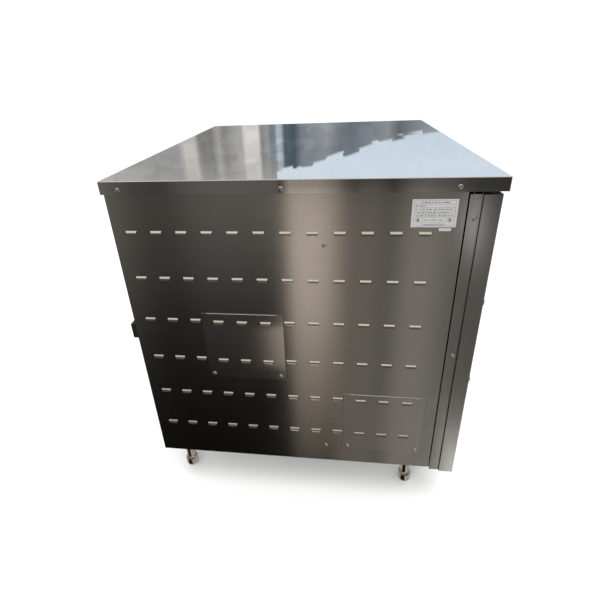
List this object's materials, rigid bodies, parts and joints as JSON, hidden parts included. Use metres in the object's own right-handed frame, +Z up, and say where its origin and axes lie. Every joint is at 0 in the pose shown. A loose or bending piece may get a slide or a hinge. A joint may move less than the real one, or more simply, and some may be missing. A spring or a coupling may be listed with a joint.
{
  "type": "proofing cabinet",
  "caption": "Stainless proofing cabinet with a louvered service side, one windowed door, a control column, wire shelves, a blower and adjustable bullet feet.",
  "frame": {"origin": "on the floor, at the centre of the whole cabinet's width and depth", "axes": "+Z up, -Y out of the door, -X out of the louvered service side"},
  "size_m": [0.9764, 0.9946, 1.0415],
  "materials": {
    "casing_steel": "brushed stainless, horizontal grain",
    "lid_steel": "finely brushed stainless, near mirror",
    "liner_steel": "bright annealed stainless",
    "frame_steel": "plain stainless sheet",
    "galvanised_steel": "galvanised sheet",
    "leg_metal": "polished nickel plate",
    "screw_steel": "bright plated",
    "wire_chrome": "chromed wire",
    "label_foil": "printed foil, rules and boxes only",
    "black_plastic": "moulded, lightly textured",
    "grey_plastic": "moulded",
    "ivory_plastic": "moulded terminal strip",
    "lamp_lens": "amber lens",
    "dial_glass": "clear",
    "window_glass": "clear tempered",
    "needle_black": "black lacquer",
    "dial_metal": "bright bezel, white dial",
    "gasket_rubber": "silicone, satin",
    "mineral_wool": "pressed mineral wool",
    "motor_paint": "black enamel",
    "element_sheath": "heat-darkened sheath",
    "bushing_brass": "turned brass"
  },
  "bodies": {
    "cabinet": {"top_lid": "lid_steel", "left_side_panel": "casing_steel", "upper_access_cover": "casing_steel", "lower_access_cover": "casing_steel", "right_side_panel": "casing_steel", "rear_panel": "casing_steel", "base_pan": "galvanised_steel", "front_rails": "frame_steel", "front_stiles": "frame_steel", "control_panel": "casing_steel", "casing_screws": "screw_steel", "rating_labels": "label_foil", "legs": "leg_metal", "service_partition": "galvanised_steel", "fan_motor": "motor_paint", "motor_bracket": "galvanised_steel", "air_heater": "element_sheath", "terminal_block": "ivory_plastic", "power_relay": "grey_plastic", "liner_left_wall": "liner_steel", "liner_right_wall": "liner_steel", "liner_back_wall": "liner_steel", "liner_ceiling": "liner_steel", "liner_floor": "liner_steel", "insulation": "mineral_wool", "air_baffle": "liner_steel", "water_pan": "liner_steel", "water_heater": "element_sheath", "shelf_racks": "wire_chrome", "wire_shelves": "wire_chrome", "temperature_controls": "grey_plastic", "switch_housing": "black_plastic", "pilot_lights": "lamp_lens", "thermometer_case": "dial_metal", "thermometer_lens": "dial_glass", "rear_terminal_box": "black_plastic", "cable_gland": "black_plastic", "hinge_brackets": "frame_steel", "door_catch": "black_plastic"},
    "door": {"door_outer_skin": "casing_steel", "door_inner_skin": "liner_steel", "door_insulation": "mineral_wool", "door_window": "window_glass", "window_trim": "screw_steel", "door_gasket": "gasket_rubber", "door_handle": "leg_metal", "hinge_bushings": "bushing_brass", "catch_strike": "screw_steel"},
    "heat_knob": {"heat_knob": "black_plastic", "heat_spindle": "bushing_brass"},
    "humidity_knob": {"humidity_knob": "black_plastic", "humidity_spindle": "bushing_brass"},
    "rocker": {"rocker_switch": "black_plastic"},
    "needle": {"thermometer_needle": "needle_black"},
    "blower": {"blower_shaft": "screw_steel", "blower_wheel": "galvanised_steel"},
    "foot_front_left": {"foot_front_left": "leg_metal"},
    "foot_front_right": {"foot_front_right": "leg_metal"},
    "foot_rear_left": {"foot_rear_left": "leg_metal"},
    "foot_rear_right": {"foot_rear_right": "leg_metal"}
  },
  "joints": [
    {"name": "door_hinge", "type": "hinge", "parent": "cabinet", "child": "door", "pos_m": [0.4718, -0.436, 0.57335], "axis": [0, 0, 1], "range_deg": [0, 135]},
    {"name": "heat_knob_turn", "type": "hinge", "parent": "cabinet", "child": "heat_knob", "pos_m": [-0.426, -0.457, 0.706], "axis": [0, -1, 0], "range_deg": [-270, 0]},
    {"name": "humidity_knob_turn", "type": "hinge", "parent": "cabinet", "child": "humidity_knob", "pos_m": [-0.426, -0.457, 0.457], "axis": [0, -1, 0], "range_deg": [-270, 0]},
    {"name": "rocker_tip", "type": "hinge", "parent": "cabinet", "child": "rocker", "pos_m": [-0.426, -0.4459, 0.8], "axis": [-1, 0, 0], "range_deg": [0, 20]},
    {"name": "needle_turn", "type": "hinge", "parent": "cabinet", "child": "needle", "pos_m": [-0.426, -0.4505, 0.9], "axis": [0, 1, 0], "range_deg": [0, 250], "stiffness_Nm_per_rad": 0.001},
    {"name": "blower_spin", "type": "hinge", "parent": "cabinet", "child": "blower", "pos_m": [-0.316, 0.14775, 0.573], "axis": [1, 0, 0], "continuous": true},
    {"name": "foot_front_left_extend", "type": "slide", "parent": "cabinet", "child": "foot_front_left", "axis": [0, 0, -1], "range_m": [0, 0.025]},
    {"name": "foot_front_right_extend", "type": "slide", "parent": "cabinet", "child": "foot_front_right", "axis": [0, 0, -1], "range_m": [0, 0.025]},
    {"name": "foot_rear_left_extend", "type": "slide", "parent": "cabinet", "child": "foot_rear_left", "axis": [0, 0, -1], "range_m": [0, 0.025]},
    {"name": "foot_rear_right_extend", "type": "slide", "parent": "cabinet", "child": "foot_rear_right", "axis": [0, 0, -1], "range_m": [0, 0.025]}
  ]
}
